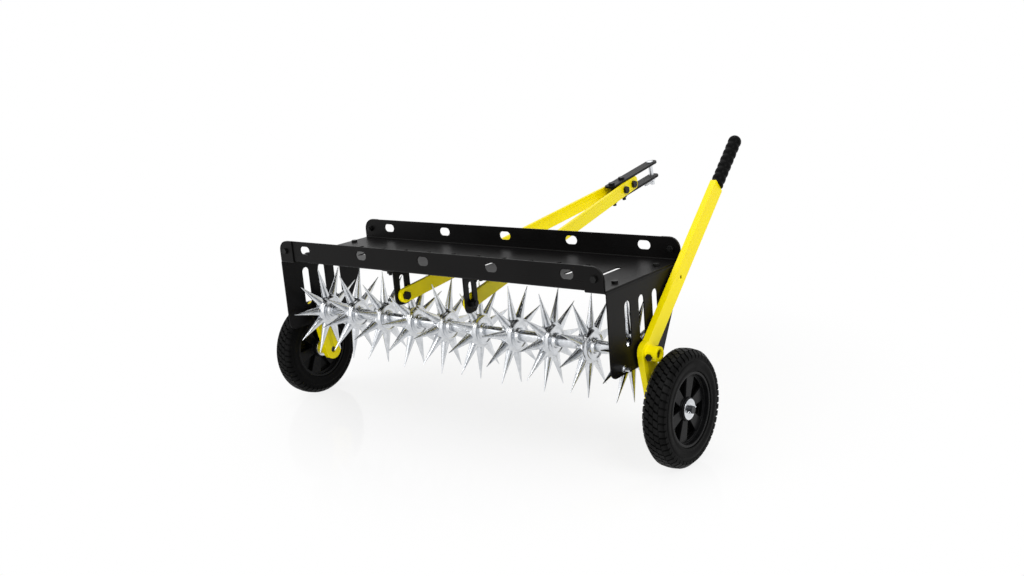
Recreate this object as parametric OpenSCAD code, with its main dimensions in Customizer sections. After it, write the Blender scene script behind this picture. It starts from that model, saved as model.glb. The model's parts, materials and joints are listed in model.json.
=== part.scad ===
// Tow-behind spike aerator: a weight tray over a row of spike stars, a drawbar in front,
// and a lever that swings two transport wheels down to lift the stars off the ground.
// Lengths are millimetres. X runs along the axle, Y points forward, Z is up from the floor.

/* [Weight tray] */
// Length of the tray along the axle
tray_l = 960; // [900:1:1040]
// Depth of the tray from flange to flange
tray_w = 296; // [280:1:320]
// Height of the upstanding flanges
flange_h = 52; // [48:1:60]
// Thickness of the folded sheet
sheet_t = 3; // [2:0.5:4]
// Outside radius of the folds
fold_r = 5; // [4.5:0.5:8]
// Radius of the flanges' top corners
flange_corner_r = 28; // [10:1:40]
// Distance from the tray's ends to the outermost slots
slot_margin = 90; // [60:1:120]
// Length of a flange slot
flange_slot_l = 33; // [26:1:40]
// Height of a flange slot
flange_slot_h = 20; // [14:1:24]
// Height of the flange slots' centres above the tray's underside
flange_slot_z = 31; // [28:1:34]
// Length of a deck slot, front to rear
deck_slot_l = 94; // [60:1:120]
// Width of a deck slot
deck_slot_w = 13; // [8:1:20]

/* [Side plates] */
// Gap between the tray's end and the side plate
side_gap = 0.5; // [0.3:0.1:1]
// Width of the side plate's top flange and of its tabs
ear_w = 50; // [46:1:60]
// Radius of a tab's outer top corner
tab_corner_r = 25; // [10:1:30]
// Depth of the side plate below the axle
side_below_axle = 29; // [24:1:40]
// How far forward the side plate's lower edge runs
side_foot_y = 48; // [30:1:80]
// Height of the side plate's straight front edge
side_front_h = 8; // [6:1:20]
// Radius of the side plate's lower corners
side_corner_r = 18; // [8:1:24]
// Width of a side slot
side_slot_w = 22; // [16:1:28]
// Distance between the side slots
side_slot_pitch = 52.5; // [48:0.5:58]
// Drop from the tray to the top of the side slots
side_slot_top = 32; // [26:1:50]
// Place of the middle side slot behind the tray's middle
side_slot_back = 24.5; // [10:0.5:35]
// Metal left between the side slots and the axle bushing
side_slot_land = 10; // [6:1:20]
// Place of the end bolts inward from the side plate's face
ear_bolt_in = 25; // [22:1:30]
// Height of the flange bolts above the tray's underside
flange_bolt_z = 27; // [20:1:32]
// Place of the deck bolts in front of and behind the tray's middle
deck_bolt_y = 80; // [60:1:110]

/* [Star axle] */
// Diameter of the axle shaft
axle_d = 20; // [16:1:24]
// Drop from the tray's underside to the axle
axle_drop = 151; // [135:1:165]
// Place of the axle behind the tray's middle
axle_back = 35; // [25:1:45]
// Outside diameter of the spacer tubes
spacer_d = 26; // [25:1:32]
// Outside diameter of the axle bushing
bushing_d = 26; // [25:1:32]
// Diameter of the bushing's flange outside the side plate
bushing_flange_d = 38; // [34:1:44]
// Thickness of the bushing's flange
bushing_flange_t = 3; // [2:0.5:5]
// Gap between the last star's hub and the side plate
star_end_gap = 3.3; // [2.5:0.1:8]

/* [Spike stars] */
// Radius to the tips of the spikes
star_tip_r = 114.5; // [100:0.5:118]
// Diameter of the star's body at the root of the spikes
star_hub_d = 80; // [76:1:84]
// Length of the star's hub along the axle
star_hub_l = 40; // [30:1:44]
// Thickness of the star's body at the root of the spikes
star_body_t = 13; // [8:1:14]
// Diameter of the raised ring on the star's faces
star_ring_d = 72; // [66:1:74]
// Width of the raised ring
star_ring_w = 3; // [2:0.5:5]
// Thickness across the raised rings
star_ring_t = 17; // [15:1:20]
// Diameter of the hub's end
star_nose_d = 30; // [27:1:36]
// How far the star's domed faces bulge out
star_dome = 2.5; // [0:0.5:4]
// Width of a spike at its root
spike_w = 25; // [18:1:25]
// Thickness of a spike at its root
spike_t = 18; // [12:1:20]
// Width and thickness of a spike's blunt tip
spike_tip = 1.6; // [1:0.2:4]
// How deep the spikes are rooted in the body
spike_root = 4; // [4:0.5:6]
// Turn from one star to the next, in degrees
star_turn = 11; // [0:1:35]

/* [Lift] */
// Length of the wheel arms, axle to wheel axle
arm_l = 121; // [110:1:140]
// Forward lean of the wheel arms from straight down, in degrees
arm_lean = 12; // [0:1:20]
// Width of a wheel arm
arm_w = 50; // [44:1:60]
// Thickness of the wheel arms and of the lever
arm_t = 14; // [12:1:18]
// Outside diameter of the arm sleeves
sleeve_d = 32; // [30:1:38]
// Length of an arm sleeve
sleeve_l = 40; // [38:1:60]
// Depth of the open end of a sleeve
sleeve_recess = 6; // [4:0.5:8]
// Step from the sleeve's inner end to the arm
sleeve_step = 1; // [0.5:0.5:3]
// Rise of the lever forward from level, in degrees
lever_rise = 42; // [35:1:50]
// Length of the lever from the axle to the grip
lever_l = 437; // [380:1:480]
// Width of the lever tube
lever_w = 38; // [30:1:44]
// Wall of the lever tube
lever_wall = 2; // [1.5:0.5:3]
// Length of the grip
grip_l = 140; // [110:1:160]
// Largest diameter of the grip
grip_d = 30; // [24:1:36]
// Depth of the grip's waves
grip_wave = 1.5; // [0.5:0.1:2]
// Diameter of the lock hole in the lever
lock_hole_d = 8; // [6:0.5:12]
// Place of the lock hole along the lever
lock_hole_at = 190; // [170:1:195]
// Place of the stop bolt behind the axle
stop_back = 75; // [66:1:85]
// Drop of the stop bolt below the axle
stop_drop = 14; // [5:1:16]

/* [Wheels] */
// Diameter of the tyres
wheel_d = 248; // [230:1:260]
// Width of the tyres
tyre_w = 52; // [44:1:60]
// Radius of the tyre's shoulders
tyre_shoulder_r = 12; // [6:1:16]
// Gap between the sleeve's end and the tyre
tyre_clear = 4; // [3:0.5:8]
// Diameter of the wheel rim under the tyre
rim_d = 158; // [150:1:170]
// Thickness of the rim
rim_t = 6; // [5:0.5:8]
// How far the rim lies inside the tyre's sides
rim_inset = 3; // [2:0.5:6]
// Thickness of the wheel's web
web_t = 6; // [4:1:10]
// Thickness of the wheel's spokes
spoke_t = 24; // [16:1:30]
// Width of a spoke at the boss
spoke_root_w = 14; // [10:1:20]
// Width of a spoke at the rim
spoke_end_w = 32; // [20:1:40]
// Width of the band between the windows and the rim
band_w = 5; // [3:0.5:8]
// Diameter of the wheel's boss
boss_d = 50; // [48:1:56]
// How far the boss's outer end lies inside the tyre's side
boss_inset = 9; // [6:0.5:11]
// Diameter of the wheel axle
wheel_axle_d = 16; // [12:1:20]
// Diameter of the boss that carries the wheel axle
arm_boss_d = 32; // [28:1:40]
// How far the wheel axle's inner end lies inside the arm
axle_sunk = 5; // [2:1:8]
// Outside diameter of the wheel bushings
wheel_bush_d = 22; // [21:0.5:26]
// Length of a wheel bushing
wheel_bush_l = 20; // [12:1:24]
// Diameter of the wheel washer
washer_d = 44; // [34:1:46]
// Thickness of the wheel washer
washer_t = 2; // [1.5:0.5:2.5]
// Diameter of the cotter pin's wire
cotter_d = 4; // [3:0.5:5]

/* [Drawbar] */
// Thickness of a drawbar
bar_t = 8; // [6:0.5:10]
// Height of a drawbar
bar_h = 34; // [32:1:38]
// Upward slope of the drawbars, in degrees
bar_rise = 9.1; // [8:0.1:9.6]
// Place of the rear drawbar bolts in from the tray's rear edge
bar_inset = 32; // [30:1:44]
// Drop of the rear drawbar bolts below the tray's underside
bar_drop = 62; // [60:1:72]
// Place of a drawbar's middle sideways at the front cross bolt
bar_front_x = 15; // [13:0.5:18]
// Length of a drawbar ahead of the front cross bolt
bar_nose = 28; // [22:1:34]
// Radius of a drawbar's front corners
nose_r = 11; // [4:1:14]
// Gap between a drawbar and its rear bracket
bracket_gap = 0.6; // [0.5:0.1:0.9]
// Thickness of the drawbar brackets
bracket_t = 4; // [3:0.5:6]
// Width of a drawbar bracket
bracket_w = 47; // [42:1:54]
// Metal below the drawbar bolt
bracket_below = 22; // [14:1:26]
// Width of the adjusting slot in a rear bracket
bracket_slot_w = 14; // [13.5:0.5:16]
// Drop from the tray to the top of the adjusting slot
bracket_slot_top = 14; // [10:1:20]
// Radius of the bracket's lower corners
bracket_corner_r = 16; // [6:1:18]
// Width of the bracket's foot under the tray
bracket_foot = 36; // [30:1:40]
// Distance between the bolts of a bracket's foot
foot_bolt_pitch = 26; // [20:1:28]
// Place of the front fixing in from the tray's front edge, along the drawbar
lug_inset = 35; // [31:1:48]

/* [Hitch] */
// Place of the straps' rear ends along the drawbar
strap_start = 733; // [710:1:760]
// Length of the hitch straps
strap_l = 244; // [235:1:270]
// Width of the hitch straps
strap_w = 32; // [30:1:44]
// Thickness of the hitch straps
strap_t = 6; // [4:0.5:8]
// Place of the first clamp bolt from the strap's rear end
clamp_at = 17; // [14:1:22]
// Distance between the clamp bolts
clamp_pitch = 50; // [46:1:56]
// Step from a clamp bolt to its cross bolt
cross_step = 25; // [20:1:30]
// Place of the hitch pin from the strap's tip
pin_at = 22; // [18:1:28]
// Diameter of the hitch pin
pin_d = 12.7; // [10:0.1:14]
// Diameter of the hitch pin's head
pin_head_d = 20; // [18:1:26]
// Height of the hitch pin's head
pin_head_h = 4; // [3:0.5:8]
// Length of the hitch pin below the lower strap
pin_below = 20; // [16:1:30]
// Diameter of the hairpin clip's wire
clip_d = 2.5; // [2:0.25:3]
// Length of the hairpin clip's legs
clip_l = 60; // [52:1:66]
// How far the clip's straight leg reaches past the pin's middle
clip_tail = 18; // [14:1:20]

/* [Fasteners] */
// Diameter of the frame bolts
bolt_d = 8; // [6:0.5:10]
// Width across the flats of the frame bolts
bolt_af = 13; // [12:0.5:15]
// Height of the frame bolts' heads
bolt_head_h = 5.3; // [4:0.1:7]
// Height of the frame bolts' nuts
nut_h = 6.5; // [5:0.5:8]
// Diameter of the drawbar and cross bolts
bar_bolt_d = 12; // [10:0.5:12.5]
// Width across the flats of the drawbar bolts
bar_bolt_af = 18; // [17:0.5:20]
// Height of the drawbar bolts' heads
bar_head_h = 7.5; // [6:0.5:9]
// Height of the drawbar bolts' nuts
bar_nut_h = 10; // [8:0.5:12]
// Diameter of the hitch clamp bolts
clamp_bolt_d = 10; // [8:0.5:10.5]
// Width across the flats of the clamp bolts
clamp_af = 16; // [15:0.5:18]
// Length of thread past a nut
thread_past = 4; // [2:0.5:8]

/* [Hidden] */
$fn = 48;
star_count = 10;
spike_count = 10;
spoke_count = 6;
flange_slot_count = 5;
deck_slot_count = 11;
side_slot_count = 3;
grip_waves = 7;
arc_steps = 6;
wave_steps = 6;
turn = 360;

// clearances: running fit, end play, thrust faces, bolt in its hole, welded seam, cutting overrun
running = 0.05;
play = 0.3;
end_clear = 0.5;
hole_gap = 0.25;
seam = 0.05;
over = 1;

// shares of the sizes that the shapes follow
stop_bolt_reach_share = 1.45;
foot_bolt_share = 0.55;
head_dome_share = 0.5;
clip_leg_share = 0.62;
strap_tip_share = 0.49;
strap_rear_share = 0.3;

// the tray's slots, spread between the margins, and the places of the drawbar's two fixings
flange_slot_pitch = (tray_l - 2 * slot_margin) / (flange_slot_count - 1);
deck_slot_pitch = (tray_l - 2 * slot_margin) / (deck_slot_count - 1);
bar_back = tray_w / 2 - bar_inset;
lug_at = tray_w - bar_inset - lug_inset;

// the chain along the axle, from the side plate out to the wheel
side_x = tray_l / 2 + side_gap + sheet_t;
side_in_x = side_x - sheet_t;
star_pitch = (2 * (side_in_x - star_end_gap) - star_hub_l) / (star_count - 1);
bushing_in = star_end_gap - end_clear;
sleeve_x = side_x + bushing_flange_t + end_clear;
sleeve_end_x = sleeve_x + sleeve_l;
arm_x = sleeve_x + sleeve_step;
arm_out_x = arm_x + arm_t;
sleeve_bolt_x = (arm_out_x + sleeve_end_x - sleeve_recess) / 2;
shaft_end_x = sleeve_end_x - sleeve_recess;
tyre_x = sleeve_end_x + tyre_clear;
wheel_x = tyre_x + tyre_w / 2;
washer_in_x = tyre_x - play - washer_t;
boss_out_x = tyre_x + tyre_w - boss_inset;
washer_x = boss_out_x + play;
cotter_x = washer_x + washer_t + play + cotter_d;
wheel_axle_end_x = cotter_x + cotter_d;

// the side plate's outline and slots
side_drop = axle_drop + side_below_axle;
side_slot_l = axle_drop - bushing_d / 2 - side_slot_land - side_slot_top;

// the drawbar, in the sloping frame whose origin lies between the rear bolts
bar_rear_x = star_pitch - bracket_gap - bar_t / 2;
bracket_in = bar_t / 2 + bracket_gap;
bracket_out = bracket_in + bracket_t;
foot_bolt_at = bracket_out + bracket_foot * foot_bolt_share;
clamp_y = [strap_start + clamp_at, strap_start + clamp_at + clamp_pitch];
cross_y = [clamp_y[0] + cross_step, clamp_y[1] + cross_step];
bar_yaw = atan((bar_rear_x - bar_front_x) / cross_y[1]);
bar_l = (cross_y[1] + bar_nose) / cos(bar_yaw);
bracket_seat = bar_bolt_af * sin(bar_yaw) * sin(bar_rise);
strap_end = strap_start + strap_l;
pin_y = strap_end - pin_at;
strap_z = bar_h / 2;
strap_out_z = strap_z + strap_t;
pin_hole_z = -strap_out_z - pin_below / 2;
clip_gap = pin_d / 2 + clip_d / 2 + play;

// place of the tray over the floor: wheels on Z = 0, overall depth centred on Y = 0
wheel_r = wheel_d / 2;
axle_z = wheel_r + arm_l * cos(arm_lean);
lever_to_arm = arm_lean - 90 - lever_rise;
tray_z = axle_z + axle_drop;
rear_y = -tray_w / 2 - sheet_t - bolt_head_h;
front_y = -bar_back + strap_end * cos(bar_rise) + strap_out_z * sin(bar_rise);
tray_y = -(rear_y + front_y) / 2;

yellow = "gold";
black = "#222222";
zinc = "silver";

// Outlines and cuts that repeat

function unit(v) = v / norm(v);

// points of a corner p between a and b, rounded to radius r
function corner(p, a, b, r) =
    let (
        u = unit(a - p),
        v = unit(b - p),
        half = acos(u * v) / 2,
        centre = p + unit(u + v) * r / sin(half),
        from = p + u * r / tan(half) - centre,
        to = p + v * r / tan(half) - centre,
        start = atan2(from[1], from[0]),
        raw = atan2(to[1], to[0]) - start,
        sweep = raw > turn / 2 ? raw - turn : raw < -turn / 2 ? raw + turn : raw
    )
    [for (i = [0 : arc_steps])
        centre + r * [cos(start + sweep * i / arc_steps), sin(start + sweep * i / arc_steps)]];

// an outline with each corner rounded to its own radius, where 0 leaves it sharp
function rounded(points, radii) =
    let (n = len(points))
    [for (i = [0 : n - 1])
        each radii[i] == 0
            ? [points[i]]
            : corner(points[i], points[(i + n - 1) % n], points[(i + 1) % n], radii[i])];

// an outline drawn in Y and Z, made a plate from x onward
module yz_plate(x, t) {
    translate([x, 0, 0]) rotate([90, 0, 90]) linear_extrude(t) children();
}

// an outline drawn in X and Z, made a plate from y onward
module xz_plate(y, t) {
    translate([0, y + t, 0]) rotate([90, 0, 0]) linear_extrude(t) children();
}

module along_x(x) {
    translate([x, 0, 0]) rotate([0, 90, 0]) children();
}

module along_y(y) {
    translate([0, y, 0]) rotate([-90, 0, 0]) children();
}

module obround(l, w) {
    for (s = [-1, 1]) translate([s * (l - w) / 2, 0]) circle(d = w);
    square([l - w, w], center = true);
}

// a quarter of a fold's ring, which joins a leg along -X to a leg along -Y
module fold_arc() {
    intersection() {
        difference() {
            translate([-fold_r, -fold_r]) circle(fold_r);
            translate([-fold_r, -fold_r]) circle(fold_r - sheet_t);
        }
        translate([-fold_r, -fold_r]) square(fold_r);
    }
}

// a bolt with its head's seat at Z = 0 and its shank downward
module bolt(d, af, head_h, l) {
    cylinder(d = af / cos(turn / 12), h = head_h, $fn = 6);
    translate([0, 0, -l]) cylinder(d = d, h = l);
}

// a nut standing on Z = 0
module nut(d, af, h) {
    difference() {
        cylinder(d = af / cos(turn / 12), h = h, $fn = 6);
        translate([0, 0, -over]) cylinder(d = d + 2 * running, h = h + 2 * over);
    }
}

module bolt_hole(d, l) {
    translate([0, 0, -l]) cylinder(d = d + 2 * hole_gap, h = 2 * l);
}

// Places

module at_tray() {
    translate([0, tray_y, tray_z]) children();
}

module at_axle() {
    at_tray() translate([0, -axle_back, -axle_drop]) children();
}

// local Y points along the wheel arm
module at_arm() {
    at_axle() rotate([arm_lean - 90, 0, 0]) children();
}

// local Y points along the lever
module at_lever() {
    at_axle() rotate([lever_rise, 0, 0]) children();
}

module at_wheel() {
    at_arm() translate([0, arm_l, 0]) children();
}

// local Y points along the drawbar's slope
module at_bars() {
    at_tray() translate([0, -bar_back, -bar_drop]) rotate([bar_rise, 0, 0]) children();
}

// local X = 0 is the right bar's middle and Y runs along that bar from its rear bolt
module at_right_bar() {
    translate([bar_rear_x, 0, 0]) rotate([0, 0, bar_yaw]) children();
}

// the same turn in the level frame, under the tray
module at_right_bracket() {
    translate([bar_rear_x, -bar_back, 0]) rotate([0, 0, bar_yaw]) children();
}

module both_sides() {
    children();
    mirror([1, 0, 0]) children();
}

// seats of the deck bolts, the flange bolts and the foot bolts, with Z along the bolt's head
module deck_bolt_places() {
    both_sides() for (s = [-1, 1])
        translate([side_x - ear_bolt_in, s * deck_bolt_y, 0]) children();
}

module flange_bolt_places() {
    both_sides() for (s = [-1, 1])
        translate([side_x - ear_bolt_in, s * tray_w / 2, flange_bolt_z])
            rotate([-s * 90, 0, 0]) children();
}

module foot_bolt_places() {
    both_sides() at_right_bracket() for (s = [-1, 1])
        translate([foot_bolt_at, s * foot_bolt_pitch / 2, 0]) children();
}

// Weight tray

module tray_section() {
    leg_y = tray_w / 2 - fold_r;
    translate([-leg_y, 0]) square([2 * leg_y, sheet_t]);
    for (s = [-1, 1]) scale([s, 1]) {
        translate([tray_w / 2 - sheet_t, fold_r]) square([sheet_t, flange_h - fold_r]);
        translate([tray_w / 2, 0]) mirror([0, 1]) fold_arc();
    }
}

module tray_end_outline() {
    polygon(rounded(
        [[-tray_l / 2, 0], [tray_l / 2, 0], [tray_l / 2, flange_h], [-tray_l / 2, flange_h]],
        [0, 0, flange_corner_r, flange_corner_r]
    ));
}

module flange_slots() {
    for (i = [0 : flange_slot_count - 1])
        translate([(i - (flange_slot_count - 1) / 2) * flange_slot_pitch, flange_slot_z])
            obround(flange_slot_l, flange_slot_h);
}

module deck_slots() {
    for (i = [0 : deck_slot_count - 1])
        translate([(i - (deck_slot_count - 1) / 2) * deck_slot_pitch, 0])
            rotate(90) obround(deck_slot_l, deck_slot_w);
}

module weight_tray() {
    color(black) at_tray() difference() {
        intersection() {
            yz_plate(-tray_l / 2, tray_l) tray_section();
            xz_plate(-tray_w / 2, tray_w) tray_end_outline();
        }
        xz_plate(-tray_w / 2 - over, tray_w + 2 * over) flange_slots();
        translate([0, 0, -over]) linear_extrude(sheet_t + 2 * over) deck_slots();
        deck_bolt_places() bolt_hole(bolt_d, fold_r);
        flange_bolt_places() bolt_hole(bolt_d, fold_r);
        foot_bolt_places() bolt_hole(bolt_d, fold_r);
    }
}

// Side plates

module side_outline() {
    half_w = tray_w / 2;
    polygon(rounded(
        [
            [-half_w, -fold_r], [-half_w, -side_drop], [side_foot_y, -side_drop],
            [half_w, -side_front_h], [half_w, -fold_r]
        ],
        [0, side_corner_r, side_corner_r, 0, 0]
    ));
}

module side_slots() {
    for (i = [0 : side_slot_count - 1])
        translate([
            -side_slot_back + (i - (side_slot_count - 1) / 2) * side_slot_pitch,
            -side_slot_top - side_slot_l / 2
        ])
            rotate(90) obround(side_slot_l, side_slot_w);
}

// the flange under the deck, with the fold down to the plate and the folds up to the tabs
module side_top() {
    in_x = side_x - ear_w;
    flat_y = tray_w / 2 + sheet_t - fold_r;
    translate([in_x, -flat_y, -sheet_t]) cube([ear_w - fold_r, 2 * flat_y, sheet_t]);
    xz_plate(-tray_w / 2, tray_w) translate([side_x, 0]) fold_arc();
    for (s = [-1, 1]) scale([1, s, 1])
        yz_plate(in_x, ear_w - fold_r)
            translate([tray_w / 2 + sheet_t, -sheet_t]) mirror([0, 1]) fold_arc();
}

module side_tab_outline() {
    in_x = side_x - ear_w;
    out_x = side_x - fold_r;
    low_z = fold_r - sheet_t;
    polygon(rounded(
        [[in_x, low_z], [out_x, low_z], [out_x, flange_h], [in_x, flange_h]],
        [0, 0, tab_corner_r, 0]
    ));
}

module side_plate() {
    difference() {
        union() {
            yz_plate(side_in_x, sheet_t) difference() {
                side_outline();
                side_slots();
            }
            side_top();
            xz_plate(-tray_w / 2 - sheet_t, sheet_t) side_tab_outline();
            xz_plate(tray_w / 2, sheet_t) side_tab_outline();
        }
        translate([0, -axle_back, -axle_drop])
            along_x(side_in_x - over) cylinder(d = bushing_d + 2 * seam, h = sheet_t + 2 * over);
        deck_bolt_places() bolt_hole(bolt_d, fold_r);
        flange_bolt_places() bolt_hole(bolt_d, fold_r);
    }
}

// cuts of the right plate alone: the stop bolt's hole and the lever's lock hole
module right_plate_cuts() {
    at_stop_bolt() bolt_hole(bolt_d, fold_r);
    translate([0, -axle_back, -axle_drop]) rotate([lever_rise, 0, 0])
        translate([0, lock_hole_at, 0])
            along_x(side_in_x - over) cylinder(d = lock_hole_d, h = sheet_t + 2 * over);
}

module left_side_plate() {
    color(black) at_tray() mirror([1, 0, 0]) side_plate();
}

module right_side_plate() {
    color(black) at_tray() difference() {
        side_plate();
        right_plate_cuts();
    }
}

// Frame fasteners

module deck_bolts() {
    l = 2 * sheet_t + nut_h + thread_past;
    color(black) at_tray() deck_bolt_places()
        translate([0, 0, sheet_t]) bolt(bolt_d, bolt_af, bolt_head_h, l);
}

module flange_bolts() {
    l = 2 * sheet_t + nut_h + thread_past;
    color(black) at_tray() flange_bolt_places()
        translate([0, 0, sheet_t]) bolt(bolt_d, bolt_af, bolt_head_h, l);
}

module bracket_bolts() {
    l = sheet_t + bracket_t + nut_h + thread_past;
    color(black) at_tray() foot_bolt_places()
        translate([0, 0, sheet_t]) bolt(bolt_d, bolt_af, bolt_head_h, l);
}

module frame_nuts() {
    color(black) at_tray() {
        deck_bolt_places() translate([0, 0, -sheet_t - nut_h]) nut(bolt_d, bolt_af, nut_h);
        flange_bolt_places() translate([0, 0, -sheet_t - nut_h]) nut(bolt_d, bolt_af, nut_h);
        foot_bolt_places() translate([0, 0, -bracket_t - nut_h]) nut(bolt_d, bolt_af, nut_h);
    }
}

// Drawbar brackets

module hitch_bracket_outline() {
    low_z = -bar_drop - bracket_below;
    polygon(rounded(
        [
            [-bracket_w / 2, 0], [-bracket_w / 2, low_z],
            [bracket_w / 2, low_z], [bracket_w / 2, 0]
        ],
        [0, bracket_corner_r, bracket_corner_r, 0]
    ));
}

module hitch_bracket() {
    slot_low = bar_drop + bracket_slot_w / 2;
    slot_l = slot_low - bracket_slot_top;
    difference() {
        at_right_bracket() {
            yz_plate(bracket_in, bracket_t) difference() {
                hitch_bracket_outline();
                translate([0, -bracket_slot_top - slot_l / 2])
                    rotate(90) obround(slot_l, bracket_slot_w);
            }
            translate([bracket_in, -bracket_w / 2, -bracket_t])
                cube([bracket_t + bracket_foot, bracket_w, bracket_t]);
        }
        foot_bolt_places() bolt_hole(bolt_d, bracket_t + over);
    }
}

module left_hitch_bracket() {
    color(black) at_tray() mirror([1, 0, 0]) hitch_bracket();
}

module right_hitch_bracket() {
    color(black) at_tray() hitch_bracket();
}

// the lug lies on the bar's outer face and is cut level under the tray
module front_lug() {
    difference() {
        at_bars() at_right_bar() yz_plate(bar_t / 2, bracket_t) polygon(rounded(
            [
                [lug_at - bracket_w / 2, bar_drop], [lug_at - bracket_w / 2, -bar_h / 2],
                [lug_at + bracket_w / 2, -bar_h / 2], [lug_at + bracket_w / 2, bar_drop]
            ],
            [0, bracket_corner_r, bracket_corner_r, 0]
        ));
        at_tray() translate([0, -tray_w, 0]) cube([tray_l, 2 * tray_w, 2 * bar_drop]);
        at_bars() at_right_bar() translate([0, lug_at, 0])
            along_x(0) bolt_hole(bar_bolt_d, bracket_t + bar_t);
    }
}

module left_front_lug() {
    color(black) mirror([1, 0, 0]) front_lug();
}

module right_front_lug() {
    color(black) front_lug();
}

// Drawbar

// the side of a bar: round at the rear bolt, with rounded front corners
module bar_outline() {
    circle(d = bar_h);
    polygon(rounded(
        [[0, -bar_h / 2], [bar_l, -bar_h / 2], [bar_l, bar_h / 2], [0, bar_h / 2]],
        [0, nose_r, nose_r, 0]
    ));
}

module drawbar() {
    difference() {
        at_right_bar() yz_plate(-bar_t / 2, bar_t) bar_outline();
        at_right_bar() for (y = [0, lug_at])
            translate([0, y, 0]) along_x(0) bolt_hole(bar_bolt_d, bar_t);
        for (y = cross_y) translate([0, y, 0]) along_x(0) bolt_hole(bar_bolt_d, bar_rear_x);
    }
}

module left_drawbar() {
    color(yellow) at_bars() mirror([1, 0, 0]) drawbar();
}

module right_drawbar() {
    color(yellow) at_bars() drawbar();
}

module drawbar_bolts() {
    rear_l = bar_t + bracket_gap + bracket_t + bar_nut_h + thread_past;
    front_l = bar_t + bracket_t + bar_nut_h + thread_past;
    color(black) at_bars() both_sides() at_right_bar() {
        translate([-bar_t / 2, 0, 0]) rotate([0, -90, 0])
            bolt(bar_bolt_d, bar_bolt_af, bar_head_h, rear_l);
        translate([bar_t / 2 + bracket_t, lug_at, 0]) rotate([0, 90, 0])
            bolt(bar_bolt_d, bar_bolt_af, bar_head_h, front_l);
    }
}

// the bracket stands upright and the bar slopes, so the rear nuts stand off by the difference
module drawbar_nuts() {
    color(black) at_bars() both_sides() at_right_bar() {
        along_x(bracket_out + bracket_seat) nut(bar_bolt_d, bar_bolt_af, bar_nut_h);
        translate([-bar_t / 2 - bar_nut_h, lug_at, 0])
            along_x(0) nut(bar_bolt_d, bar_bolt_af, bar_nut_h);
    }
}

// Hitch

module strap_outline() {
    tip_r = strap_w * strap_tip_share;
    rear_r = strap_w * strap_rear_share;
    polygon(rounded(
        [
            [-strap_w / 2, strap_start], [strap_w / 2, strap_start],
            [strap_w / 2, strap_end], [-strap_w / 2, strap_end]
        ],
        [rear_r, rear_r, tip_r, tip_r]
    ));
}

module hitch_strap() {
    difference() {
        linear_extrude(strap_t) strap_outline();
        for (y = clamp_y) translate([0, y, 0]) bolt_hole(clamp_bolt_d, strap_t + over);
        translate([0, pin_y, -over]) cylinder(d = pin_d + 2 * running, h = strap_t + 2 * over);
    }
}

module hitch_strap_top() {
    color(black) at_bars() translate([0, 0, strap_z]) hitch_strap();
}

module hitch_strap_bottom() {
    color(black) at_bars() translate([0, 0, -strap_out_z]) hitch_strap();
}

module hitch_clamp_bolts() {
    l = 2 * strap_out_z + nut_h + 2 * thread_past;
    color(black) at_bars() for (y = clamp_y)
        translate([0, y, strap_out_z]) bolt(clamp_bolt_d, clamp_af, bolt_head_h, l);
}

module hitch_clamp_nuts() {
    color(black) at_bars() for (y = clamp_y)
        translate([0, y, -strap_out_z - nut_h]) nut(clamp_bolt_d, clamp_af, nut_h);
}

// outer face of the bars, taken at the rear edge of a bolt head centred on y
function bar_out_x(y) =
    let (edge = y - bar_bolt_af / cos(turn / 12) / 2)
    bar_rear_x - edge * tan(bar_yaw) + bar_t / 2 / cos(bar_yaw);

module hitch_cross_bolts() {
    color(black) at_bars() for (y = cross_y)
        translate([bar_out_x(y), y, 0]) rotate([0, 90, 0])
            bolt(bar_bolt_d, bar_bolt_af, bar_head_h, 2 * bar_out_x(y) + bar_nut_h + thread_past);
}

module hitch_cross_nuts() {
    color(black) at_bars() for (y = cross_y)
        translate([-bar_out_x(y) - bar_nut_h, y, 0])
            along_x(0) nut(bar_bolt_d, bar_bolt_af, bar_nut_h);
}

// local X runs from the pin's middle back to the clip's bow
module at_clip() {
    at_bars() translate([0, pin_y, pin_hole_z]) rotate([0, 0, -90]) children();
}

module hitch_pin() {
    color(zinc) at_bars() translate([0, pin_y, 0]) difference() {
        union() {
            translate([0, 0, strap_out_z + play]) {
                cylinder(d = pin_head_d, h = pin_head_h * head_dome_share);
                translate([0, 0, pin_head_h * head_dome_share])
                    cylinder(d1 = pin_head_d, d2 = pin_d, h = pin_head_h * head_dome_share);
            }
            translate([0, 0, -strap_out_z - pin_below])
                cylinder(d = pin_d, h = 2 * strap_out_z + pin_below + 2 * play);
        }
        translate([0, 0, pin_hole_z]) rotate([0, 0, -90])
            along_x(-pin_d) cylinder(d = clip_d + 2 * running, h = 2 * pin_d);
    }
}

// one leg through the pin, the bow, and the leg that hugs the pin from in front
module hairpin_clip() {
    bow_x = clip_l - clip_tail;
    color(zinc) at_clip() {
        along_x(-clip_tail) cylinder(d = clip_d, h = clip_l);
        translate([bow_x, clip_gap / 2, 0]) rotate([0, 0, -90])
            rotate_extrude(angle = 180) translate([clip_gap / 2, 0]) circle(d = clip_d);
        translate([0, clip_gap, 0])
            along_x(bow_x - clip_l * clip_leg_share) cylinder(d = clip_d, h = clip_l * clip_leg_share);
    }
}

// Star axle

module axle_bushing() {
    body_l = bushing_in + sheet_t + bushing_flange_t;
    difference() {
        union() {
            along_x(side_in_x - bushing_in) cylinder(d = bushing_d, h = body_l);
            along_x(side_x) cylinder(d = bushing_flange_d, h = bushing_flange_t);
        }
        along_x(side_in_x - bushing_in - over)
            cylinder(d = axle_d + 2 * running, h = body_l + 2 * over);
    }
}

module left_axle_bushing() {
    color("dimgray") at_axle() mirror([1, 0, 0]) axle_bushing();
}

module right_axle_bushing() {
    color("dimgray") at_axle() axle_bushing();
}

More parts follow.
